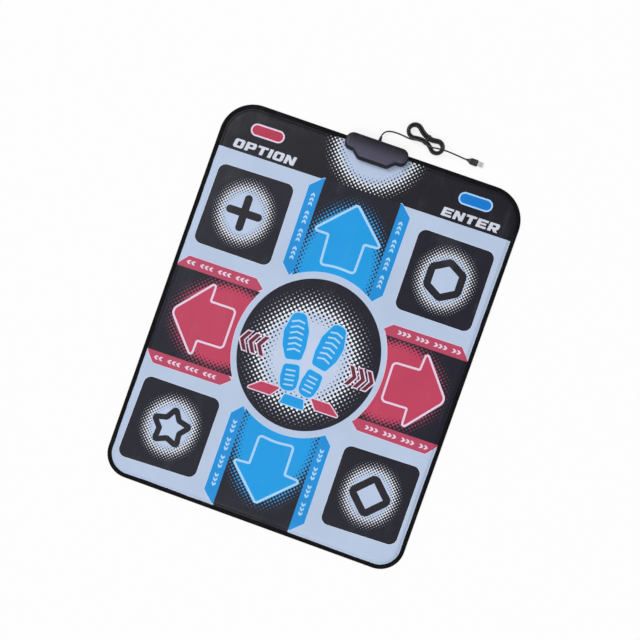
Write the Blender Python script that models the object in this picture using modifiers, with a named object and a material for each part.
"""Dance mat controller.

A soft floor mat with a foam core and ten press zones, a moulded control box clamped
into the middle of its head edge, and a thin lead that is wound into a tied hank and
ends in a plug. Metres, +Z up. The origin is the middle of the mat on the floor, +Y
points at the control box and +X to the right.
"""

import math

import bmesh
import bpy
from mathutils import Matrix, Vector

# Points closer together than this are one point
WELD_DISTANCE = 0.00002

# A corner of an outline is never rounded by less than this
LEAST_BEND = 0.0004

# Mat outline
MAT_WIDTH = 0.770
MAT_LENGTH = 0.974
HEAD_CORNER_RADIUS = 0.084
FOOT_CORNER_RADIUS = 0.062
MAT_CORNER_STEPS = 10

# Stack of sheets, from the floor up
FIT_GAP = 0.0003
BASE_THICKNESS = 0.0010
FILM_THICKNESS = 0.0003
INK_THICKNESS = 0.0002
FOAM_THICKNESS = 0.0030
COVER_THICKNESS = 0.0009
PATCH_THICKNESS = 0.0003

# Hem
TAPE_WIDTH = 0.0110
TAPE_THICKNESS = 0.0006
HEM_CLEARANCE = 0.0016
FOAM_SLOPE = 0.0074
BASE_SLOPE = 0.0020
INNER_CORNER_RADIUS = 0.0020
INNER_WING_RADIUS = 0.0050

# Press zones
ZONE_CENTRE_Y = -0.050
RING_RADIUS_ACROSS = 0.188
RING_RADIUS_ALONG = 0.204
RING_STEPS = 14
TILE_WIDTH = 0.195
TILE_LENGTH = 0.207
TILE_RADIUS = 0.0195
TILE_SIDE_MARGIN = 0.030
TILE_FOOT_MARGIN = 0.056
TILE_OFFSET_X = MAT_WIDTH / 2 - TILE_SIDE_MARGIN - TILE_WIDTH / 2
TILE_OFFSET_Y = MAT_LENGTH / 2 + ZONE_CENTRE_Y - TILE_FOOT_MARGIN - TILE_LENGTH / 2
LONG_BLOCK_WIDTH = 0.194
SIDE_BLOCK_WIDTH = 0.215
BLOCK_EDGE_MARGIN = 0.0040
HEAD_BAND = 0.121
HEAD_BLOCK_REACH = MAT_LENGTH / 2 - HEAD_BAND - ZONE_CENTRE_Y
BLOCK_RADIUS = 0.006
PILL_WIDTH = 0.086
PILL_LENGTH = 0.034
PILL_OFFSET_X = MAT_WIDTH / 2 - 0.119
PILL_Y = MAT_LENGTH / 2 - 0.0555
WINDOW_GAP = 0.0004
FOAM_RELIEF = 0.0010
PATCH_INSET = 0.006
PAD_INSET = 0.009

# Printed leads from the pads to the control box
TRACE_WIDTH = 0.0020
TRACE_PITCH = 0.0040
TRACE_LANE_X = 0.112
TRACE_TURN_Y = MAT_LENGTH / 2 - 0.103
TRACE_OVERLAP = 0.0030

# Control box
BOX_X = -0.005
BOX_HALF_WIDTH = 0.080
BOX_OVERHANG = 0.009
BOX_REAR_Y = MAT_LENGTH / 2 + BOX_OVERHANG
BOX_WING_Y = BOX_REAR_Y - 0.042
BOX_FRONT_Y = BOX_REAR_Y - 0.058
BOX_STEP_HALF_WIDTH = 0.055
BOX_FRONT_HALF_WIDTH = 0.038
BOX_REAR_RADIUS = 0.020
BOX_WING_RADIUS = 0.017
BOX_STEP_RADIUS = 0.006
BOX_FRONT_RADIUS = 0.009
BOX_WALL = 0.0020
BOX_HEIGHT = 0.0300
BOX_DRAFT = 0.0012
BOX_SHOULDER = 0.0085
BOX_CROWN = 0.0022
BASE_LEDGE = 0.0050
NOTCH_GAP = 0.0004
NOTCH_PAST_EDGE = 0.0100
NOTCH_REACH_Z = (-0.01, 0.05)
BOX_ARC_STEPS = 5
SHOULDER_STEPS = 5
CROWN_CUTS = (-0.6, -0.4, -0.2, 0.0, 0.2, 0.4, 0.6)

# Inside the control box
SCREW_OFFSET_X = BOX_HALF_WIDTH - 0.016
SCREW_ROWS_Y = (BOX_WING_Y + 0.0135, BOX_REAR_Y - 0.0115)
SCREW_SHANK_RADIUS = 0.0014
SCREW_HEAD_RADIUS = 0.0030
BOARD_SCREW_HEAD_RADIUS = 0.0025
SCREW_HEAD_HEIGHT = 0.0020
SCREW_LENGTH = 0.0160
SCREW_RECESS = 0.0008
SCREW_CLEARANCE = 0.0003
BOSS_WALL = 0.0022
BOSS_SINK = 0.0004
TAIL_HALF_WIDTH = 0.024
TAIL_END_Y = BOX_FRONT_Y + 0.018
BOARD_HALF_WIDTH = 0.029
BOARD_FRONT_Y = BOX_FRONT_Y + 0.0085
BOARD_LENGTH = 0.0355
BOARD_THICKNESS = 0.0016
COMPONENT_ROW = 0.0165
CHIP_HALF_WIDTH = 0.0065
CHIP_HALF_LENGTH = 0.0055
CHIP_HEIGHT = 0.0024
CAPACITOR_OFFSET = 0.018
CAPACITOR_RADIUS = 0.0025
CAPACITOR_HEIGHT = 0.0070
SOCKET_HALF_WIDTH = 0.0062
SOCKET_LENGTH = 0.0058
SOCKET_HEIGHT = 0.0070
SOCKET_MARGIN = 0.0017
CONNECTOR_LENGTH = 0.0060
CONNECTOR_MARGIN = 0.0010
CONNECTOR_HEIGHT = 0.0027
POST_OFFSET_X = 0.024
POST_Y = BOARD_FRONT_Y + 0.0295

# Lead
CORD_DIAMETER = 0.0036
RELIEF_HEIGHT = 0.0112
RELIEF_LENGTH = 0.0120
RELIEF_ROOT_RADIUS = 0.0047
RELIEF_TIP_RADIUS = 0.0029
RELIEF_NECK_RADIUS = 0.0034
RELIEF_FLANGE = 0.0020
RELIEF_GROOVES = 3
RELIEF_GROOVE_DEPTH = 0.0006
RELIEF_RIB_LIP = 0.0010

# Hand-chosen stations: the lead's from the box, the tail's from the hank's centre, first
# along the hank and then across it
LEAD_STATIONS = (
    (0.0055, 0.0265, 0.0080),
    (0.0160, 0.0330, 0.0042),
    (0.0300, 0.0352, CORD_DIAMETER / 2 + 0.0004),
    (0.0450, 0.0348, CORD_DIAMETER / 2),
)
TAIL_STATIONS = (
    (-0.0160, -0.0125, 0.0150),
    (0.0000, -0.0100, 0.01585),
    (0.0090, -0.0109, 0.0169),
    (0.0170, -0.0114, 0.0189),
    (0.0250, -0.0088, 0.0199),
    (0.0380, -0.0028, 0.0199),
    (0.0480, 0.0014, 0.0182),
    (0.0600, 0.0060, 0.0144),
    (0.0740, 0.0111, 0.0086),
    (0.0860, 0.0149, 0.0052),
)

# Hank
HANK_CENTRE = (BOX_X + 0.1075, BOX_REAR_Y + 0.0410)
HANK_TURN = math.radians(-17.0)
HANK_LONG_LOBE = 0.0363
HANK_LONG_RADIUS = 0.0120
HANK_SHORT_LOBE = 0.0287
HANK_SHORT_RADIUS = 0.0108
HANK_LAYERS = 4
HANK_LAYER_LOOPS = 2
HANK_START = math.radians(283.0)
HANK_END = math.radians(290.0)
HANK_POINTS = 24
HANK_GAP = 0.00065
TIE_WIDTH = 0.0050
TIE_THICKNESS = 0.0008
TIE_CLEARANCE = 0.0005
TIE_SIDE_CLEARANCE = 0.0011
TIE_RADIUS = 0.0030

# Plug
PLUG_POSITION = (BOX_X + 0.2135, BOX_REAR_Y + 0.0290)
PLUG_TURN = math.radians(-1.5)
PLUG_WIDTH = 0.0156
PLUG_HEIGHT = 0.0080
PLUG_LENGTH = 0.0280
PLUG_TAPER = 0.0150
SHELL_WIDTH = 0.0120
SHELL_HEIGHT = 0.0045
SHELL_LENGTH = 0.0140
SHELL_WALL = 0.0004
LATCH_HOLE = 0.0023
LATCH_ALONG = 0.0087
LATCH_ASIDE = 0.0029
OVERMOULD_RADIUS = 0.0022
OVERMOULD_NECK = 0.0052
OVERMOULD_STRAIGHT = 0.0020
OVERMOULD_BEVEL = 0.0007
OVERMOULD_STEPS = 6
TONGUE_THICKNESS = 0.0019

# Heights that follow from the stack
FILM_Z = BASE_THICKNESS + FIT_GAP
INK_Z = FILM_Z + FILM_THICKNESS + FIT_GAP
FOAM_Z = INK_Z + INK_THICKNESS + FIT_GAP
COVER_Z = FOAM_Z + FOAM_THICKNESS + FIT_GAP
COVER_TOP = COVER_Z + COVER_THICKNESS
PATCH_Z = COVER_Z - FIT_GAP - PATCH_THICKNESS
RIM_Z = COVER_TOP + FIT_GAP
HEM_BASE_TOP = TAPE_THICKNESS + FIT_GAP + BASE_THICKNESS
HEM_COVER_TOP = HEM_BASE_TOP + FIT_GAP + COVER_THICKNESS
HEM_HEIGHT = HEM_COVER_TOP + FIT_GAP + TAPE_THICKNESS
HEM_INSET = TAPE_WIDTH + HEM_CLEARANCE
FIELD_INSET = HEM_INSET + FOAM_SLOPE
FOAM_INSET = FIELD_INSET + FOAM_RELIEF
SHEET_EDGE = TAPE_THICKNESS + FIT_GAP

COLOURS = {
    "binding_black": ((0.012, 0.012, 0.014), 0.6, 0.0),
    "cover_print": ((0.46, 0.52, 0.66), 0.55, 0.0),
    "arrow_blue": ((0.03, 0.34, 0.74), 0.5, 0.0),
    "arrow_red": ((0.55, 0.06, 0.12), 0.5, 0.0),
    "tile_charcoal": ((0.045, 0.043, 0.058), 0.55, 0.0),
    "foam_grey": ((0.20, 0.20, 0.21), 0.9, 0.0),
    "base_fabric": ((0.05, 0.05, 0.055), 0.95, 0.0),
    "clear_film": ((0.65, 0.68, 0.70), 0.2, 0.0),
    "carbon_ink": ((0.02, 0.02, 0.02), 0.7, 0.0),
    "box_plastic": ((0.046, 0.044, 0.058), 0.5, 0.0),
    "black_plastic": ((0.010, 0.010, 0.011), 0.5, 0.0),
    "board_green": ((0.02, 0.14, 0.06), 0.45, 0.0),
    "component_black": ((0.015, 0.015, 0.015), 0.4, 0.0),
    "white_plastic": ((0.75, 0.75, 0.72), 0.45, 0.0),
    "steel": ((0.55, 0.55, 0.56), 0.3, 1.0),
    "nickel": ((0.78, 0.78, 0.80), 0.2, 1.0),
    "cord_black": ((0.012, 0.012, 0.013), 0.45, 0.0),
}


# Scene helpers

def clear_scene():
    for item in list(bpy.data.objects):
        bpy.data.objects.remove(item, do_unlink=True)


def new_collection(name):
    group = bpy.data.collections.new(name)
    bpy.context.scene.collection.children.link(group)
    return group


def material(name):
    """The named finish as a Principled material, made once."""
    found = bpy.data.materials.get(name)
    if found:
        return found
    colour, roughness, metallic = COLOURS[name]
    made = bpy.data.materials.new(name)
    made.use_nodes = True
    shader = made.node_tree.nodes["Principled BSDF"]
    shader.inputs["Base Color"].default_value = (*colour, 1.0)
    shader.inputs["Roughness"].default_value = roughness
    shader.inputs["Metallic"].default_value = metallic
    return made


def place(name, data, finish, location=(0.0, 0.0, 0.0)):
    """Links new data as a named part of the mat."""
    item = bpy.data.objects.new(name, data)
    PARTS.objects.link(item)
    data.materials.append(material(finish))
    item.location = location
    return item


def place_cutter(name, data, location=(0.0, 0.0, 0.0)):
    item = bpy.data.objects.new(name, data)
    CUTTERS.objects.link(item)
    item.location = location
    item.hide_render = True
    item.display_type = "WIRE"
    return item


def mesh_from(bm, name):
    bmesh.ops.recalc_face_normals(bm, faces=bm.faces)
    mesh = bpy.data.meshes.new(name)
    bm.to_mesh(mesh)
    bm.free()
    return mesh


def combine(item, other, operation):
    """Joins or cuts an object with another by an exact Boolean."""
    change = item.modifiers.new(other.name, "BOOLEAN")
    change.object = other
    change.operation = operation
    change.solver = "EXACT"


def shade_round(mesh, angle=35.0):
    mesh.shade_smooth()
    mesh.set_sharp_from_angle(angle=math.radians(angle))


# Outlines

def unit(vector):
    return vector / vector.length


def ease(share):
    """0 to 1, level at both ends."""
    share = min(1.0, max(0.0, share))
    return share * share * (3 - 2 * share)


def rounded_outline(corners, insets=0.0, steps=6):
    """Points of a closed outline, counter-clockwise, with its corners rounded.

    corners are (x, y, radius). insets moves the edges inwards: one value for all of
    them, or one for each edge, counted from its first corner. Corner arcs keep their
    centres, so outlines of different insets have matching points.
    """
    count = len(corners)
    if not isinstance(insets, (list, tuple)):
        insets = [insets] * count
    sharp = [Vector((x, y)) for x, y, _ in corners]
    ways = [unit(sharp[(i + 1) % count] - sharp[i]) for i in range(count)]
    points = []
    for i, (_, _, radius) in enumerate(corners):
        way_in, way_out = ways[i - 1], ways[i]
        side_in = Vector((-way_in.y, way_in.x)) * insets[i - 1]
        side_out = Vector((-way_out.y, way_out.x)) * insets[i]
        turn = way_in.x * way_out.y - way_in.y * way_out.x
        shift = (side_out - side_in)
        along = (shift.x * way_out.y - shift.y * way_out.x) / turn
        corner = sharp[i] + side_in + way_in * along
        inset = max(insets[i - 1], insets[i], key=abs)
        bend = max(radius - math.copysign(inset, inset * turn), LEAST_BEND)
        angle = math.acos(max(-1.0, min(1.0, way_in.dot(way_out))))
        reach = bend * math.tan(angle / 2)
        side = 1.0 if turn > 0 else -1.0
        centre = corner - way_in * reach + Vector((-way_in.y, way_in.x)) * bend * side
        start = corner - way_in * reach - centre
        for step in range(steps + 1):
            swing = side * angle * step / steps
            points.append(centre + Matrix.Rotation(swing, 2) @ start)
    return points


def mat_outline(inset):
    half_width = MAT_WIDTH / 2
    half_length = MAT_LENGTH / 2
    corners = [
        (-half_width, -half_length, FOOT_CORNER_RADIUS),
        (half_width, -half_length, FOOT_CORNER_RADIUS),
        (half_width, half_length, HEAD_CORNER_RADIUS),
        (-half_width, half_length, HEAD_CORNER_RADIUS),
    ]
    return rounded_outline(corners, inset, MAT_CORNER_STEPS)


def box_corners():
    """The control box seen from above: a wide rear part and a narrower front step."""
    return [
        (BOX_X - BOX_FRONT_HALF_WIDTH, BOX_FRONT_Y, BOX_FRONT_RADIUS),
        (BOX_X + BOX_FRONT_HALF_WIDTH, BOX_FRONT_Y, BOX_FRONT_RADIUS),
        (BOX_X + BOX_STEP_HALF_WIDTH, BOX_WING_Y, BOX_STEP_RADIUS),
        (BOX_X + BOX_HALF_WIDTH, BOX_WING_Y, BOX_WING_RADIUS),
        (BOX_X + BOX_HALF_WIDTH, BOX_REAR_Y, BOX_REAR_RADIUS),
        (BOX_X - BOX_HALF_WIDTH, BOX_REAR_Y, BOX_REAR_RADIUS),
        (BOX_X - BOX_HALF_WIDTH, BOX_WING_Y, BOX_WING_RADIUS),
        (BOX_X - BOX_STEP_HALF_WIDTH, BOX_WING_Y, BOX_STEP_RADIUS),
    ]


def box_outline(inset):
    return rounded_outline(box_corners(), inset, BOX_ARC_STEPS)


def box_base_outline(inset=0.0):
    """The lower shell: a ledge narrower than the box, but flush with its rear wall."""
    insets = [BASE_LEDGE + inset] * len(box_corners())
    insets[4] = inset
    return rounded_outline(box_corners(), insets, BOX_ARC_STEPS)


def notch_outline():
    """The cut-out for the lower shell, open through the head edge of the mat."""
    past_edge = MAT_LENGTH / 2 - BOX_REAR_Y - NOTCH_PAST_EDGE
    insets = [BASE_LEDGE - NOTCH_GAP] * len(box_corners())
    insets[4] = past_edge
    corners = [(x, y, min(radius, BOX_WING_RADIUS)) for x, y, radius in box_corners()]
    corners[4] = (*corners[4][:2], INNER_CORNER_RADIUS)
    corners[5] = (*corners[5][:2], INNER_CORNER_RADIUS)
    return rounded_outline(corners, insets, BOX_ARC_STEPS)


def tile_outline(centre, inset):
    x, y = centre
    corners = [
        (x - TILE_WIDTH / 2, y - TILE_LENGTH / 2, TILE_RADIUS),
        (x + TILE_WIDTH / 2, y - TILE_LENGTH / 2, TILE_RADIUS),
        (x + TILE_WIDTH / 2, y + TILE_LENGTH / 2, TILE_RADIUS),
        (x - TILE_WIDTH / 2, y + TILE_LENGTH / 2, TILE_RADIUS),
    ]
    return rounded_outline(corners, inset)


def pill_outline(centre, inset):
    x, y = centre
    half = PILL_LENGTH / 2
    corners = [
        (x - PILL_WIDTH / 2, y - half, half),
        (x + PILL_WIDTH / 2, y - half, half),
        (x + PILL_WIDTH / 2, y + half, half),
        (x - PILL_WIDTH / 2, y + half, half),
    ]
    return rounded_outline(corners, inset)


def block_outline(quarter, inset):
    """A zone between the centre ring and the mat's edge, turned by quarter turns.

    Its inner side follows the ring, whose two radii swap on the side blocks.
    """
    if quarter % 2:
        width, across, along = SIDE_BLOCK_WIDTH, RING_RADIUS_ALONG, RING_RADIUS_ACROSS
        reach = MAT_WIDTH / 2 - FIELD_INSET - BLOCK_EDGE_MARGIN
    else:
        width, across, along = LONG_BLOCK_WIDTH, RING_RADIUS_ACROSS, RING_RADIUS_ALONG
        foot_reach = MAT_LENGTH / 2 - FIELD_INSET - BLOCK_EDGE_MARGIN + ZONE_CENTRE_Y
        reach = HEAD_BLOCK_REACH if quarter == 0 else foot_reach
    half = width / 2 - inset
    across, along, reach = across + inset, along + inset, reach - inset
    radius = BLOCK_RADIUS
    points = []
    swing = math.asin(half / across)
    for step in range(RING_STEPS + 1):
        angle = swing * (1 - 2 * step / RING_STEPS)
        points.append(Vector((across * math.sin(angle), along * math.cos(angle))))
    for side, start in ((-1, math.pi), (1, math.pi / 2)):
        centre = Vector((side * (half - radius), reach - radius))
        for step in range(5):
            angle = start - math.pi / 2 * step / 4
            points.append(centre + radius * Vector((math.cos(angle), math.sin(angle))))
    points.reverse()
    turn = Matrix.Rotation(quarter * math.pi / 2, 2)
    return [turn @ point + Vector((0.0, ZONE_CENTRE_Y)) for point in points]


def zones():
    """Each press zone's name, its outline for an inset, and its finish."""
    head_y = ZONE_CENTRE_Y + TILE_OFFSET_Y
    foot_y = ZONE_CENTRE_Y - TILE_OFFSET_Y
    made = {}
    for quarter, name in enumerate(("up", "left", "down", "right")):
        finish = "arrow_red" if quarter % 2 else "arrow_blue"
        made[name] = (lambda inset, q=quarter: block_outline(q, inset), finish)
    for name, x, y in (("top_left", -TILE_OFFSET_X, head_y),
                       ("top_right", TILE_OFFSET_X, head_y),
                       ("bottom_left", -TILE_OFFSET_X, foot_y),
                       ("bottom_right", TILE_OFFSET_X, foot_y)):
        made[name] = (lambda inset, c=(x, y): tile_outline(c, inset), "tile_charcoal")
    for name, x, finish in (("select", -PILL_OFFSET_X, "arrow_red"),
                            ("start", PILL_OFFSET_X, "arrow_blue")):
        made[name] = (lambda inset, c=(x, PILL_Y): pill_outline(c, inset), finish)
    return made


def middle(points):
    low_x = min(point.x for point in points)
    high_x = max(point.x for point in points)
    low_y = min(point.y for point in points)
    high_y = max(point.y for point in points)
    return Vector(((low_x + high_x) / 2, (low_y + high_y) / 2))


# Shape builders

def outline_curve(name, outlines, thickness, origin=Vector((0.0, 0.0))):
    """A filled flat outline, with further outlines inside it as holes."""
    curve = bpy.data.curves.new(name, "CURVE")
    curve.dimensions = "2D"
    curve.fill_mode = "BOTH"
    curve.extrude = thickness / 2
    for points in outlines:
        spline = curve.splines.new("POLY")
        spline.points.add(len(points) - 1)
        for slot, point in zip(spline.points, points):
            slot.co = (point.x - origin.x, point.y - origin.y, 0.0, 1.0)
        spline.use_cyclic_u = True
    return curve


def sheet(name, outlines, low, thickness, finish, origin=Vector((0.0, 0.0))):
    curve = outline_curve(name, outlines, thickness, origin)
    return place(name, curve, finish, (origin.x, origin.y, low + thickness / 2))


def prism(name, outline, low, high):
    """A closed prism mesh between two heights, to be cut or joined."""
    bm = bmesh.new()
    face = bm.faces.new(ring_of(bm, outline, low))
    made = bmesh.ops.extrude_face_region(bm, geom=[face])
    top = [item for item in made["geom"] if isinstance(item, bmesh.types.BMVert)]
    bmesh.ops.translate(bm, verts=top, vec=(0.0, 0.0, high - low))
    return mesh_from(bm, name)


def ring_of(bm, outline, height):
    return [bm.verts.new((point.x, point.y, height)) for point in outline]


def join_rings(bm, lower, upper):
    count = len(lower)
    for i in range(count):
        j = (i + 1) % count
        bm.faces.new((lower[i], lower[j], upper[j], upper[i]))


def stepped_surface(name, levels, holes=()):
    """An open surface: a flat field with holes, and rings of the mat's outline round it.

    levels are (inset, height), from the field outwards.
    """
    field_inset, field_height = levels[0]
    curve = outline_curve(name, [mat_outline(field_inset), *holes], 0.0)
    holder = bpy.data.objects.new(name, curve)
    CUTTERS.objects.link(holder)
    bpy.context.view_layer.update()
    graph = bpy.context.evaluated_depsgraph_get()
    mesh = bpy.data.meshes.new_from_object(holder.evaluated_get(graph))
    bpy.data.objects.remove(holder, do_unlink=True)
    bm = bmesh.new()
    bm.from_mesh(mesh)
    bmesh.ops.dissolve_degenerate(bm, dist=WELD_DISTANCE, edges=bm.edges)
    bmesh.ops.translate(bm, verts=bm.verts, vec=(0.0, 0.0, field_height))
    rings = [ring_of(bm, mat_outline(inset), height) for inset, height in levels]
    for inner, outer in zip(rings, rings[1:]):
        join_rings(bm, inner, outer)
    bmesh.ops.remove_doubles(bm, verts=bm.verts, dist=WELD_DISTANCE)
    made = mesh_from(bm, name)
    if made.polygons[0].normal.z < 0:
        made.flip_normals()
    return made


def box_solid(name, low, high):
    bm = bmesh.new()
    bmesh.ops.create_cube(bm, size=1.0)
    size = Vector(high) - Vector(low)
    centre = (Vector(high) + Vector(low)) / 2
    bmesh.ops.scale(bm, verts=bm.verts, vec=size)
    bmesh.ops.translate(bm, verts=bm.verts, vec=centre)
    return mesh_from(bm, name)


def cylinder(bm, centre, radius, low, high, sides=16):
    """Adds an upright capped cylinder to a bmesh."""
    place_at = Matrix.Translation((centre[0], centre[1], (low + high) / 2))
    bmesh.ops.create_cone(bm, cap_ends=True, segments=sides, radius1=radius, radius2=radius,
                          depth=high - low, matrix=place_at)


def cylinders(name, spots, radius, low, high, sides=16):
    bm = bmesh.new()
    for spot in spots:
        cylinder(bm, spot, radius, low, high, sides)
    return mesh_from(bm, name)


def turned(name, profile):
    """The outer side of a turned shape: (radius, height) points, from the top down."""
    bm = bmesh.new()
    verts = [bm.verts.new((radius, 0.0, height)) for radius, height in profile]
    for first, second in zip(verts, verts[1:]):
        bm.edges.new((first, second))
    mesh = bpy.data.meshes.new(name)
    bm.to_mesh(mesh)
    bm.free()
    return mesh


def add_turn(item, steps=16):
    turn = item.modifiers.new("Turn", "SCREW")
    turn.steps = steps
    turn.render_steps = steps
    turn.use_merge_vertices = True
    turn.merge_threshold = WELD_DISTANCE
    return item


def tube(name, points, sides_level, finish):
    """A round cord through a list of points, with flat closed ends."""
    curve = bpy.data.curves.new(name, "CURVE")
    curve.dimensions = "3D"
    curve.bevel_depth = CORD_DIAMETER / 2
    curve.bevel_resolution = sides_level
    curve.use_fill_caps = True
    curve.twist_mode = "MINIMUM"
    spline = curve.splines.new("POLY")
    spline.points.add(len(points) - 1)
    for slot, point in zip(spline.points, points):
        slot.co = (*point, 1.0)
    return place(name, curve, finish)


def smooth_route(stations, spacing):
    """Points at an even spacing on a smooth curve through hand-chosen stations.

    The first and the last stretch are kept straight, and none lies below the floor.
    """
    fine = []
    for a, b, c, d in zip(stations, stations[1:], stations[2:], stations[3:]):
        for step in range(24):
            t = step / 24
            fine.append(0.5 * (2 * b + (c - a) * t + (2 * a - 5 * b + 4 * c - d) * t ** 2
                               + (3 * b - a - 3 * c + d) * t ** 3))
    fine.append(stations[-2])
    lengths = [0.0]
    for first, second in zip(fine, fine[1:]):
        lengths.append(lengths[-1] + (second - first).length)
    count = max(2, round(lengths[-1] / spacing))
    points = [stations[0]]
    cursor = 0
    for i in range(count + 1):
        target = lengths[-1] * i / count
        while cursor < len(fine) - 2 and lengths[cursor + 1] < target:
            cursor += 1
        share = (target - lengths[cursor]) / (lengths[cursor + 1] - lengths[cursor])
        point = fine[cursor].lerp(fine[cursor + 1], min(1.0, max(0.0, share)))
        point.z = max(point.z, CORD_DIAMETER / 2)
        points.append(point)
    points.append(stations[-1])
    return points


# Mat

def build_base_sheet():
    levels = [
        (HEM_INSET + BASE_SLOPE, BASE_THICKNESS),
        (HEM_INSET, HEM_BASE_TOP),
        (SHEET_EDGE, HEM_BASE_TOP),
    ]
    item = place("base_sheet", stepped_surface("base_sheet", levels), "base_fabric")
    add_thickness(item, BASE_THICKNESS)
    combine(item, NOTCH, "DIFFERENCE")


def build_top_cover(zone_table):
    levels = [
        (FIELD_INSET, COVER_TOP),
        (HEM_INSET, HEM_COVER_TOP),
        (SHEET_EDGE, HEM_COVER_TOP),
    ]
    windows = [outline(-WINDOW_GAP) for outline, _ in zone_table.values()]
    item = place("top_cover", stepped_surface("top_cover", levels, windows), "cover_print")
    add_thickness(item, COVER_THICKNESS)
    combine(item, NOTCH, "DIFFERENCE")


def add_thickness(item, thickness):
    skin = item.modifiers.new("Thickness", "SOLIDIFY")
    skin.thickness = thickness
    skin.offset = -1.0
    skin.use_even_offset = True


def build_binding():
    """Folded tape round the edge, a C in section, open inwards."""
    fold = TAPE_THICKNESS
    section = [
        (TAPE_WIDTH, 0.0), (fold, 0.0), (0.0, fold),
        (0.0, HEM_HEIGHT - fold), (fold, HEM_HEIGHT), (TAPE_WIDTH, HEM_HEIGHT),
        (TAPE_WIDTH, HEM_HEIGHT - fold), (fold, HEM_HEIGHT - fold),
        (fold, fold), (TAPE_WIDTH, fold),
    ]
    bm = bmesh.new()
    rings = [ring_of(bm, mat_outline(inset), height) for inset, height in section]
    for first, second in zip(rings, rings[1:] + rings[:1]):
        join_rings(bm, first, second)
    item = place("edge_binding", mesh_from(bm, "edge_binding"), "binding_black")
    combine(item, NOTCH, "DIFFERENCE")


def head_edge_corners(inset):
    """The head edge of an inner sheet, right to left, stepping round the notch."""
    grown = NOTCH_GAP - BASE_LEDGE
    side = BOX_HALF_WIDTH + grown
    wing = BOX_WING_Y - grown
    front = BOX_FRONT_Y - grown
    head = MAT_LENGTH / 2 - inset
    step = BOX_STEP_HALF_WIDTH
    nose = BOX_FRONT_HALF_WIDTH
    return side, wing, front, head, step, nose


def inner_outline(inset, tail=None):
    """An inner sheet's outline. A tail, where there is one, runs on into the box."""
    half_width = MAT_WIDTH / 2
    half_length = MAT_LENGTH / 2
    side, wing, front, head, step, nose = head_edge_corners(inset)
    right = [
        (BOX_X + side, head, INNER_CORNER_RADIUS),
        (BOX_X + side, wing - NOTCH_GAP * 2, INNER_WING_RADIUS),
        (BOX_X + step, wing - NOTCH_GAP * 2, BOX_STEP_RADIUS),
        (BOX_X + nose, front - NOTCH_GAP * 2, BOX_FRONT_RADIUS),
    ]
    left = [(2 * BOX_X - x, y, radius) for x, y, radius in reversed(right)]
    between = []
    if tail:
        low = front - NOTCH_GAP * 2
        between = [(BOX_X + side * TAIL_HALF_WIDTH, y, INNER_CORNER_RADIUS)
                   for side, y in ((1, low), (1, tail), (-1, tail), (-1, low))]
    corners = [
        (-half_width + inset, -half_length + inset, FOOT_CORNER_RADIUS - inset),
        (half_width - inset, -half_length + inset, FOOT_CORNER_RADIUS - inset),
        (half_width - inset, head, HEAD_CORNER_RADIUS - inset),
        *right, *between, *left,
        (-half_width + inset, head, HEAD_CORNER_RADIUS - inset),
    ]
    return rounded_outline(corners)


def build_lower_film():
    outline = inner_outline(FOAM_INSET, TAIL_END_Y)
    sheet("lower_contact_film", [outline], FILM_Z, FILM_THICKNESS, "clear_film")


def build_foam(zone_table):
    windows = [outline(-WINDOW_GAP - FOAM_RELIEF) for outline, _ in zone_table.values()]
    outlines = [inner_outline(FOAM_INSET), *windows]
    sheet("spacer_foam", outlines, FOAM_Z, FOAM_THICKNESS, "foam_grey")


def build_zone(name, outline, finish):
    """A panel of printed cover and the contact patch on its underside."""
    origin = middle(outline(0.0))
    sheet(name + "_panel", [outline(0.0)], COVER_Z, COVER_THICKNESS, finish, origin)
    sheet(name + "_contact", [outline(PATCH_INSET)], PATCH_Z, PATCH_THICKNESS,
          "carbon_ink", origin)


def ribbon(stations, width):
    """The outline of a flat strip along a path with square bends."""
    half = width / 2
    left, right = [], []
    for i, station in enumerate(stations):
        ways = []
        if i > 0:
            ways.append(unit(station - stations[i - 1]))
        if i < len(stations) - 1:
            ways.append(unit(stations[i + 1] - station))
        sides = [Vector((-way.y, way.x)) * half for way in ways]
        offset = sides[0] if len(sides) == 1 or sides[0] == sides[1] else sides[0] + sides[1]
        left.append(station + offset)
        right.append(station - offset)
    return right + list(reversed(left))


def build_pads(zone_table):
    """Printed pads under the zones, each with its lead.

    A lead runs to a lane beside the centre, up to the head and along the film's tail.
    """
    groups = ((-1, ("down", "bottom_left", "left", "top_left", "select")),
              (1, ("up", "bottom_right", "right", "top_right", "start")))
    for side, names in groups:
        for lane, name in enumerate(names):
            pad = zone_table[name][0](PAD_INSET)
            centre = middle(pad)
            turn_y = TRACE_TURN_Y + lane * TRACE_PITCH
            column = BOX_X + side * TRACE_PITCH * (lane + 0.5)
            end = Vector((column, TAIL_END_Y - TRACE_PITCH))
            if name in ("select", "start"):
                foot = min(point.y for point in pad) + TRACE_OVERLAP
                stations = [Vector((centre.x, foot)), Vector((centre.x, turn_y))]
            else:
                lane_x = side * (TRACE_LANE_X + lane * TRACE_PITCH)
                edge = pad_edge_towards(pad, centre, lane_x)
                stations = [Vector((edge, centre.y)), Vector((lane_x, centre.y)),
                            Vector((lane_x, turn_y))]
            stations += [Vector((column, turn_y)), end]
            build_pad(name, pad, ribbon(stations, TRACE_WIDTH))


def build_pad(name, pad, lead):
    top = INK_Z + INK_THICKNESS
    item = place(name + "_pad", prism(name + "_pad", pad, INK_Z, top), "carbon_ink")
    strip = prism(name + "_lead", lead, INK_Z, top)
    combine(item, place_cutter(name + "_lead", strip), "UNION")


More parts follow.
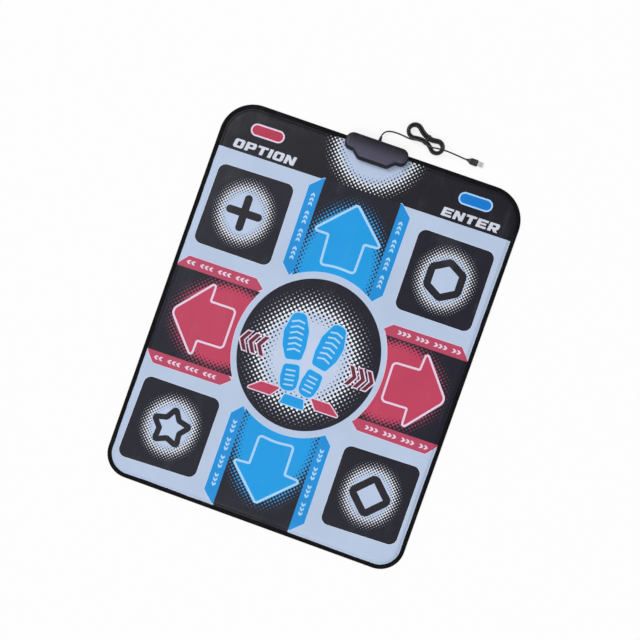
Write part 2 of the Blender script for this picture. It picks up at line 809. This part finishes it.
def pad_edge_towards(pad, centre, lane_x):
    """Just inside the pad, on the level line from its middle to the lane."""
    crossings = []
    for first, second in zip(pad, pad[1:] + pad[:1]):
        if (first.y - centre.y) * (second.y - centre.y) <= 0 and first.y != second.y:
            share = (centre.y - first.y) / (second.y - first.y)
            crossings.append(first.x + (second.x - first.x) * share)
    way = 1.0 if lane_x > centre.x else -1.0
    return max(crossings, key=lambda x: x * way) - way * TRACE_OVERLAP


# Control box

def screw_spots():
    return [(BOX_X + side * SCREW_OFFSET_X, y) for side in (-1, 1) for y in SCREW_ROWS_Y]


def post_spots():
    return [(BOX_X + side * POST_OFFSET_X, POST_Y) for side in (-1, 1)]


def seat_heights():
    """Heights that the screws, the posts and the board share."""
    hole_radius = SCREW_SHANK_RADIUS + SCREW_CLEARANCE
    head_top = SCREW_RECESS + SCREW_HEAD_HEIGHT
    board_low = INK_Z + INK_THICKNESS + FIT_GAP + CONNECTOR_HEIGHT + FIT_GAP
    return hole_radius, head_top, board_low


def build_controller_base():
    """A shallow tray in the notch, with screw bosses, board posts and a slot for the tail."""
    hole_radius, head_top, board_low = seat_heights()
    boss_radius = SCREW_HEAD_RADIUS + SCREW_CLEARANCE + BOSS_WALL / 2
    mesh = prism("controller_base", box_base_outline(), 0.0, COVER_TOP)
    item = place("controller_base", mesh, "box_plastic")
    pocket = prism("base_pocket", box_base_outline(BOX_WALL), BASE_THICKNESS,
                   COVER_TOP + BOX_WALL)
    combine(item, place_cutter("base_pocket", pocket), "DIFFERENCE")
    bosses = cylinders("base_bosses", screw_spots(), boss_radius, BASE_THICKNESS / 2, COVER_TOP)
    combine(item, place_cutter("base_bosses", bosses), "UNION")
    posts = cylinders("base_posts", post_spots(), hole_radius + BOSS_WALL, BASE_THICKNESS / 2,
                      board_low - FIT_GAP)
    combine(item, place_cutter("base_posts", posts), "UNION")
    seat_radius = SCREW_HEAD_RADIUS + SCREW_CLEARANCE
    high = COVER_TOP + BOX_WALL
    seat = turned("base_screw_hole", [(0.0, high), (hole_radius, high),
                                      (hole_radius, head_top + FIT_GAP),
                                      (seat_radius, head_top + FIT_GAP),
                                      (seat_radius, -BOX_WALL), (0.0, -BOX_WALL)])
    for number, spot in enumerate(screw_spots(), 1):
        hole = place_cutter(f"base_screw_hole_{number}", seat, (*spot, 0.0))
        combine(item, add_turn(hole), "DIFFERENCE")
    post_holes = cylinders("base_post_holes", post_spots(), hole_radius, BASE_THICKNESS * 1.5,
                           high)
    combine(item, place_cutter("base_post_holes", post_holes), "DIFFERENCE")
    front = BOX_FRONT_Y + BASE_LEDGE
    slot_half = TAIL_HALF_WIDTH + FIT_GAP * 2
    slot = box_solid("tail_slot", (BOX_X - slot_half, front - BOX_WALL, BASE_THICKNESS),
                     (BOX_X + slot_half, front + BOX_WALL * 2, FOAM_Z))
    combine(item, place_cutter("tail_slot", slot), "DIFFERENCE")


def shell_profile(wall):
    """Insets and heights of the upper shell's side: a drafted wall and a rounded shoulder."""
    shoulder = BOX_SHOULDER - wall
    wall_top = BOX_HEIGHT - BOX_SHOULDER
    levels = [(wall, RIM_Z - wall)]
    for step in range(SHOULDER_STEPS + 1):
        angle = math.pi / 2 * step / SHOULDER_STEPS
        levels.append((BOX_DRAFT + wall + shoulder * (1 - math.cos(angle)),
                       wall_top + shoulder * math.sin(angle)))
    return levels


def dome(name, wall):
    """A closed dome that lies inside the upper shell's surface by the given wall."""
    bm = bmesh.new()
    rings = [ring_of(bm, box_outline(inset), height) for inset, height in shell_profile(wall)]
    for lower, upper in zip(rings, rings[1:]):
        join_rings(bm, lower, upper)
    bm.faces.new(rings[0])
    bm.faces.new(rings[-1])
    crown_shell(bm)
    return mesh_from(bm, name)


def crown_shell(bm):
    """Lowers the top towards the front and the rear, so that it is crowned like a cushion."""
    middle_y = (BOX_FRONT_Y + BOX_REAR_Y) / 2
    half = (BOX_REAR_Y - BOX_FRONT_Y) / 2
    for share in CROWN_CUTS:
        plane = Vector((0.0, middle_y + half * share, 0.0))
        everything = bm.verts[:] + bm.edges[:] + bm.faces[:]
        bmesh.ops.bisect_plane(bm, geom=everything, plane_co=plane, plane_no=(0.0, 1.0, 0.0))
    for vert in bm.verts:
        share = max(0.0, (vert.co.z - RIM_Z) / (BOX_HEIGHT - RIM_Z))
        offset = (vert.co.y - middle_y) / half
        vert.co.z -= BOX_CROWN * offset ** 2 * share


def build_controller_top():
    """The moulded upper shell: a crowned two-width dome with bosses and a slot for the cord."""
    mesh = dome("controller_top", 0.0)
    shade_round(mesh)
    item = place("controller_top", mesh, "box_plastic")
    combine(item, place_cutter("top_hollow", dome("top_hollow", BOX_WALL)), "DIFFERENCE")
    hole_radius, _, _ = seat_heights()
    in_the_roof = BOX_HEIGHT - BOX_WALL + BOSS_SINK
    bosses = cylinders("top_bosses", screw_spots(), hole_radius + BOSS_WALL, RIM_Z, in_the_roof)
    combine(item, place_cutter("top_bosses", bosses), "UNION")
    holes = cylinders("top_holes", screw_spots(), hole_radius, RIM_Z - BOX_WALL,
                      SCREW_RECESS + SCREW_HEAD_HEIGHT + SCREW_LENGTH + BOX_WALL)
    combine(item, place_cutter("top_holes", holes), "DIFFERENCE")
    slot_half = RELIEF_NECK_RADIUS + FIT_GAP
    slot_y = BOX_REAR_Y - BOX_WALL * 2
    slot = box_solid("cord_slot", (BOX_X - slot_half, slot_y, RIM_Z - BOX_WALL),
                     (BOX_X + slot_half, BOX_REAR_Y + BOX_WALL, RELIEF_HEIGHT))
    combine(item, place_cutter("cord_slot", slot), "DIFFERENCE")
    round_end = cylinders("cord_slot_end", [(0.0, 0.0)], slot_half, -BOX_WALL * 2, BOX_WALL * 2)
    end = place_cutter("cord_slot_end", round_end, (BOX_X, BOX_REAR_Y - BOX_WALL, RELIEF_HEIGHT))
    end.rotation_euler = (math.pi / 2, 0.0, 0.0)
    combine(item, end, "DIFFERENCE")


def build_screw(name, profile, spot):
    """A pan-head screw, turned from its profile."""
    add_turn(place(name, turned(name, profile), "steel", (*spot, 0.0)))


def build_shell_screws():
    _, head_top, _ = seat_heights()
    end = head_top + SCREW_LENGTH
    profile = [(0.0, end), (SCREW_SHANK_RADIUS, end), (SCREW_SHANK_RADIUS, head_top),
               (SCREW_HEAD_RADIUS, head_top), (SCREW_HEAD_RADIUS, SCREW_RECESS),
               (0.0, SCREW_RECESS)]
    for number, spot in enumerate(screw_spots(), 1):
        build_screw(f"shell_screw_{number}", profile, spot)


def build_board():
    hole_radius, _, board_low = seat_heights()
    low = (BOX_X - BOARD_HALF_WIDTH, BOARD_FRONT_Y, board_low)
    high = (BOX_X + BOARD_HALF_WIDTH, BOARD_FRONT_Y + BOARD_LENGTH, board_low + BOARD_THICKNESS)
    item = place("circuit_board", box_solid("circuit_board", low, high), "board_green")
    holes = cylinders("board_holes", post_spots(), hole_radius, low[2] - BOX_WALL,
                      high[2] + BOX_WALL)
    combine(item, place_cutter("board_holes", holes), "DIFFERENCE")
    head_low = high[2] + FIT_GAP
    head_high = head_low + SCREW_HEAD_HEIGHT
    tip = BASE_THICKNESS * 2
    profile = [(0.0, head_high), (BOARD_SCREW_HEAD_RADIUS, head_high),
               (BOARD_SCREW_HEAD_RADIUS, head_low), (SCREW_SHANK_RADIUS, head_low),
               (SCREW_SHANK_RADIUS, tip), (0.0, tip)]
    for number, spot in enumerate(post_spots(), 1):
        build_screw(f"board_screw_{number}", profile, spot)
    return head_low


def build_chip(low):
    """The bare chip under its blob of resin."""
    bm = bmesh.new()
    size = Matrix.Diagonal((CHIP_HALF_WIDTH, CHIP_HALF_LENGTH, CHIP_HEIGHT, 1.0))
    middle_y = BOARD_FRONT_Y + COMPONENT_ROW
    bmesh.ops.create_uvsphere(bm, u_segments=16, v_segments=8, radius=1.0,
                              matrix=Matrix.Translation((BOX_X, middle_y, low)) @ size)
    everything = bm.verts[:] + bm.edges[:] + bm.faces[:]
    bmesh.ops.bisect_plane(bm, geom=everything, plane_co=(0.0, 0.0, low),
                           plane_no=(0.0, 0.0, 1.0), clear_inner=True)
    rim = [edge for edge in bm.edges if edge.is_boundary]
    bmesh.ops.holes_fill(bm, edges=rim)
    place("controller_chip", mesh_from(bm, "controller_chip"), "component_black")


def build_capacitor(low):
    spot = (BOX_X - CAPACITOR_OFFSET, BOARD_FRONT_Y + COMPONENT_ROW)
    mesh = cylinders("capacitor", [spot], CAPACITOR_RADIUS, low, low + CAPACITOR_HEIGHT)
    place("capacitor", mesh, "component_black")


def build_cable_socket(low):
    """The socket that the lead's four wires plug into, at the board's rear edge."""
    end = BOARD_FRONT_Y + BOARD_LENGTH - SOCKET_MARGIN
    mesh = box_solid("cable_socket", (BOX_X - SOCKET_HALF_WIDTH, end - SOCKET_LENGTH, low),
                     (BOX_X + SOCKET_HALF_WIDTH, end, low + SOCKET_HEIGHT))
    place("cable_socket", mesh, "white_plastic")


def build_tail_connector():
    """The sprung contact bar between the film's tail and the board."""
    low = INK_Z + INK_THICKNESS + FIT_GAP
    half = TAIL_HALF_WIDTH + FIT_GAP
    front = BOARD_FRONT_Y + CONNECTOR_MARGIN
    mesh = box_solid("tail_connector", (BOX_X - half, front, low),
                     (BOX_X + half, front + CONNECTOR_LENGTH, low + CONNECTOR_HEIGHT))
    place("tail_connector", mesh, "black_plastic")


def build_strain_relief():
    """A grooved rubber sleeve whose neck sits in the slot of the rear wall."""
    neck = BOX_WALL + BOX_DRAFT + FIT_GAP * 2
    profile = [(0.0, neck + RELIEF_LENGTH), (RELIEF_TIP_RADIUS, neck + RELIEF_LENGTH)]
    deep = RELIEF_GROOVE_DEPTH
    for i in range(RELIEF_GROOVES):
        for share, depth in ((0.16, 0.0), (0.24, deep), (0.36, deep), (0.44, 0.0)):
            along = (i + share) / (RELIEF_GROOVES + 0.4)
            radius = RELIEF_TIP_RADIUS + (RELIEF_ROOT_RADIUS - RELIEF_TIP_RADIUS) * along
            profile.append((radius - depth, neck + RELIEF_LENGTH * (1 - along)))
    profile += [
        (RELIEF_ROOT_RADIUS, neck + RELIEF_RIB_LIP), (RELIEF_ROOT_RADIUS, neck),
        (RELIEF_NECK_RADIUS, neck), (RELIEF_NECK_RADIUS, 0.0),
        (RELIEF_ROOT_RADIUS, 0.0), (RELIEF_ROOT_RADIUS, -RELIEF_FLANGE), (0.0, -RELIEF_FLANGE),
    ]
    mesh = turned("strain_relief", profile)
    foot_y = BOX_REAR_Y - BOX_WALL - BOX_DRAFT - FIT_GAP
    item = place("strain_relief", mesh, "black_plastic", (BOX_X, foot_y, RELIEF_HEIGHT))
    item.rotation_euler = (-math.pi / 2, 0.0, 0.0)
    add_turn(item, 20)
    return Vector((BOX_X, foot_y + neck + RELIEF_LENGTH, RELIEF_HEIGHT))


# Lead and hank

def hank_pitch():
    return CORD_DIAMETER + HANK_GAP


def hank_frame():
    return Matrix.Translation((*HANK_CENTRE, 0.0)) @ Matrix.Rotation(HANK_TURN, 4, "Z")


def hank_arcs():
    """The innermost loop as tangent arcs: (centre, radius, first angle, sweep).

    Two lobes join at a drawn-in waist. An arc with a negative sweep bends outwards.
    """
    waist = hank_pitch() / 2
    quarter = math.pi / 2
    radii = {1: HANK_SHORT_RADIUS, -1: HANK_LONG_RADIUS}
    lobes = {1: HANK_SHORT_LOBE, -1: HANK_LONG_LOBE}
    bends, meets = {}, {}
    for side in (1, -1):
        lobe, radius = lobes[side], radii[side]
        bends[side] = (lobe ** 2 + waist ** 2 - radius ** 2) / (2 * (radius - waist))
        meets[side] = math.atan2(lobe, waist + bends[side])
    right, left = Vector((lobes[1], 0.0)), Vector((-lobes[-1], 0.0))
    above = {side: Vector((0.0, waist + bends[side])) for side in (1, -1)}
    return [
        (right, radii[1], 0.0, quarter + meets[1]),
        (above[1], bends[1], meets[1] - quarter, -meets[1]),
        (above[-1], bends[-1], -quarter, -meets[-1]),
        (left, radii[-1], quarter - meets[-1], math.pi + 2 * meets[-1]),
        (-above[-1], bends[-1], quarter + meets[-1], -meets[-1]),
        (-above[1], bends[1], quarter, -meets[1]),
        (right, radii[1], 3 * quarter - meets[1], quarter + meets[1]),
    ]


def hank_place(arcs, bend, offset):
    """A point of the loop after a given amount of bending, moved outwards by offset."""
    left = bend % sum(abs(arc[3]) for arc in arcs)
    for centre, radius, first, sweep in arcs:
        if left <= abs(sweep):
            break
        left -= abs(sweep)
    side = math.copysign(1.0, sweep)
    angle = first + side * left
    return centre + (radius + side * offset) * Vector((math.cos(angle), math.sin(angle)))


def hank_points():
    """The wound cord, evenly stepped by bending, with straight ends of one diameter.

    It winds inwards on one layer and outwards on the next, and rises a layer in the
    half turn where it reverses, along the far run. The waist is lifted over the tie.
    """
    arcs = hank_arcs()
    sweeps = [abs(arc[3]) for arc in arcs]
    loop = sum(sweeps)
    to_long_lobe = sum(sweeps[:3]) - arcs[3][2]
    start = to_long_lobe + HANK_START
    reversals = [sum(sweeps[:2]) + loop * HANK_LAYER_LOOPS * (layer + 1)
                 for layer in range(HANK_LAYERS - 1)]
    end = to_long_lobe + HANK_END + loop * (HANK_LAYER_LOOPS * HANK_LAYERS - 1)
    count = round((end - start) / loop * HANK_POINTS)
    deepest = (reversals[0] - start) / loop
    lift = TIE_THICKNESS + TIE_CLEARANCE
    points = []
    for i in range(count + 1):
        bend = start + (end - start) * i / count
        passed = sum(bend > reversal for reversal in reversals)
        since = (bend - ([start] + reversals)[passed]) / loop
        from_inner = deepest - since if passed == 0 else since
        if passed == 2:
            from_inner = HANK_LAYER_LOOPS - since
        height = CORD_DIAMETER / 2
        for reversal in reversals:
            height += hank_pitch() * ease((bend - reversal) / loop * 2 + 0.5)
        flat = hank_place(arcs, bend, from_inner * hank_pitch())
        height += lift * (1.0 - ease(abs(flat.x) / HANK_SHORT_LOBE))
        points.append(hank_frame() @ Vector((flat.x, flat.y, height)))
    for tip, inner in ((0, 1), (-1, -2)):
        way = points[tip] - points[inner]
        points[tip] = points[inner] + unit(way) * max(way.length, CORD_DIAMETER)
    return points


def least_gap(points, skip):
    """The least gap between the surfaces of parts of a cord that aren't neighbours."""
    fine = []
    for first, second in zip(points, points[1:]):
        for step in range(4):
            fine.append(first.lerp(second, step / 4))
    nearest = min((first - second).length
                  for i, first in enumerate(fine) for second in fine[i + skip:])
    return nearest - CORD_DIAMETER


def path_length(points):
    return sum((second - first).length for first, second in zip(points, points[1:]))


def build_hank():
    points = hank_points()
    tube("cord_hank", points, 1, "cord_black")
    print("cord_hank least gap to itself, mm:", round(least_gap(points, 24) * 1000, 3))
    print("cord_hank length, m:", round(path_length(points), 4))
    return points


def build_lead(exit_point, hank):
    """From the relief down to the floor, round to the right and into the hank."""
    entry_way = unit(hank[0] - hank[1])
    start = exit_point + Vector((0.0, FIT_GAP, 0.0))
    end = hank[0] + entry_way * FIT_GAP
    stations = [
        start,
        start + Vector((0.0, CORD_DIAMETER, 0.0)),
        *[Vector((BOX_X + x, BOX_REAR_Y + y, z)) for x, y, z in LEAD_STATIONS],
        end + entry_way * CORD_DIAMETER * 1.5,
        end,
    ]
    points = smooth_route(stations, CORD_DIAMETER * 2)
    tube("cord_lead", points, 2, "cord_black")
    print("cord_lead length, m:", round(path_length(points), 4))


def plug_frame():
    return (Matrix.Translation((*PLUG_POSITION, PLUG_HEIGHT / 2))
            @ Matrix.Rotation(PLUG_TURN, 4, "Z"))


def build_tail(hank):
    """From the hank's top layer, through the tie, over the short lobe and down to the plug."""
    leave_way = unit(hank[-1] - hank[-2])
    start = hank[-1] + leave_way * FIT_GAP
    plug_start = plug_frame() @ Vector((-FIT_GAP, 0.0, 0.0))
    plug_way = plug_frame().to_3x3() @ Vector((-1.0, 0.0, 0.0))
    stations = [
        start,
        start + leave_way * CORD_DIAMETER,
        *[hank_frame() @ Vector(station) for station in TAIL_STATIONS],
        plug_start + plug_way * CORD_DIAMETER * 2,
        plug_start,
    ]
    points = smooth_route(stations, CORD_DIAMETER * 2)
    tube("cord_tail", points, 2, "cord_black")
    print("cord_tail length, m:", round(path_length(points), 4))


def build_tie():
    """A flat band round the waist of the hank."""
    half_width = (0.5 + HANK_LAYER_LOOPS) * hank_pitch() + CORD_DIAMETER / 2
    half_width += TIE_SIDE_CLEARANCE
    low = TIE_THICKNESS
    high = low + CORD_DIAMETER + hank_pitch() * (HANK_LAYERS - 1) + TIE_CLEARANCE * 3
    corners = [(-half_width, low, TIE_RADIUS), (half_width, low, TIE_RADIUS),
               (half_width, high, TIE_RADIUS), (-half_width, high, TIE_RADIUS)]
    outlines = [rounded_outline(corners, -TIE_THICKNESS), rounded_outline(corners)]
    curve = outline_curve("cable_tie", outlines, TIE_WIDTH)
    item = place("cable_tie", curve, "black_plastic", (*HANK_CENTRE, 0.0))
    item.rotation_euler = (math.pi / 2, 0.0, HANK_TURN + math.pi / 2)


# Plug

def section_ring(bm, frame, along, width, height, radius):
    corners = [(-width / 2, -height / 2, radius), (width / 2, -height / 2, radius),
               (width / 2, height / 2, radius), (-width / 2, height / 2, radius)]
    return [bm.verts.new(frame @ Vector((along, point.x, point.y)))
            for point in rounded_outline(corners, 0.0, 4)]


def build_overmould():
    """A soft moulding that swells from the cord to the plug's grip."""
    bm = bmesh.new()
    frame = plug_frame()
    neck = OVERMOULD_NECK
    round_neck = neck / 2 - WELD_DISTANCE
    rings = [section_ring(bm, frame, 0.0, neck, neck, round_neck)]
    for step in range(OVERMOULD_STEPS + 1):
        share = ease(step / OVERMOULD_STEPS)
        along = OVERMOULD_STRAIGHT + (PLUG_TAPER - OVERMOULD_STRAIGHT) * step / OVERMOULD_STEPS
        width = neck + (PLUG_WIDTH - neck) * share
        height = neck + (PLUG_HEIGHT - neck) * share
        radius = round_neck + (OVERMOULD_RADIUS - round_neck) * share
        rings.append(section_ring(bm, frame, along, width, height, radius))
    bevel = OVERMOULD_BEVEL
    rings.append(section_ring(bm, frame, PLUG_LENGTH - bevel, PLUG_WIDTH, PLUG_HEIGHT,
                              OVERMOULD_RADIUS))
    rings.append(section_ring(bm, frame, PLUG_LENGTH, PLUG_WIDTH - bevel * 2,
                              PLUG_HEIGHT - bevel * 2, OVERMOULD_RADIUS - bevel))
    for first, second in zip(rings, rings[1:]):
        join_rings(bm, first, second)
    bm.faces.new(rings[0])
    bm.faces.new(rings[-1])
    mesh = mesh_from(bm, "plug_overmould")
    shade_round(mesh)
    place("plug_overmould", mesh, "cord_black")


def plug_block(name, low, high):
    """A block in the plug's own frame, X along the plug, from its cord end."""
    mesh = box_solid(name, low, high)
    mesh.transform(plug_frame())
    return mesh


def build_plug_metal():
    start = PLUG_LENGTH + FIT_GAP
    end = start + SHELL_LENGTH
    half_width, half_height = SHELL_WIDTH / 2, SHELL_HEIGHT / 2
    item = place("plug_shell", plug_block("plug_shell", (start, -half_width, -half_height),
                                          (end, half_width, half_height)), "nickel")
    hollow = plug_block("shell_hollow",
                        (start + SHELL_WALL, SHELL_WALL - half_width, SHELL_WALL - half_height),
                        (end + SHELL_WALL, half_width - SHELL_WALL, half_height - SHELL_WALL))
    combine(item, place_cutter("shell_hollow", hollow), "DIFFERENCE")
    for side in (-1, 1):
        middle_x = start + LATCH_ALONG
        middle_y = side * LATCH_ASIDE
        half = LATCH_HOLE / 2
        latch = plug_block("latch_hole", (middle_x - half, middle_y - half, -PLUG_HEIGHT),
                           (middle_x + half, middle_y + half, PLUG_HEIGHT))
        combine(item, place_cutter("latch_hole", latch), "DIFFERENCE")
    inner_start = start + SHELL_WALL + FIT_GAP
    tongue_half = half_width - SHELL_WALL - FIT_GAP
    tongue_low = SHELL_WALL + FIT_GAP - half_height
    tongue_high = tongue_low + TONGUE_THICKNESS - FIT_GAP
    place("plug_tongue", plug_block("plug_tongue", (inner_start, -tongue_half, tongue_low),
                                    (end - SHELL_WALL, tongue_half, tongue_high)),
          "white_plastic")


def build():
    zone_table = zones()
    travel = PATCH_Z - INK_Z - INK_THICKNESS - FIT_GAP
    print("press travel, mm:", round(travel * 1000, 2))
    build_base_sheet()
    build_lower_film()
    build_pads(zone_table)
    build_foam(zone_table)
    build_top_cover(zone_table)
    build_binding()
    for name, (outline, finish) in zone_table.items():
        build_zone(name, outline, finish)
    build_controller_base()
    build_controller_top()
    build_shell_screws()
    board_top = build_board()
    build_chip(board_top)
    build_capacitor(board_top)
    build_cable_socket(board_top)
    build_tail_connector()
    exit_point = build_strain_relief()
    hank = build_hank()
    build_lead(exit_point, hank)
    build_tail(hank)
    build_tie()
    build_overmould()
    build_plug_metal()


clear_scene()
PARTS = new_collection("dance_mat_controller")
CUTTERS = new_collection("cutters")
NOTCH = place_cutter("notch", prism("notch", notch_outline(), *NOTCH_REACH_Z))
build()
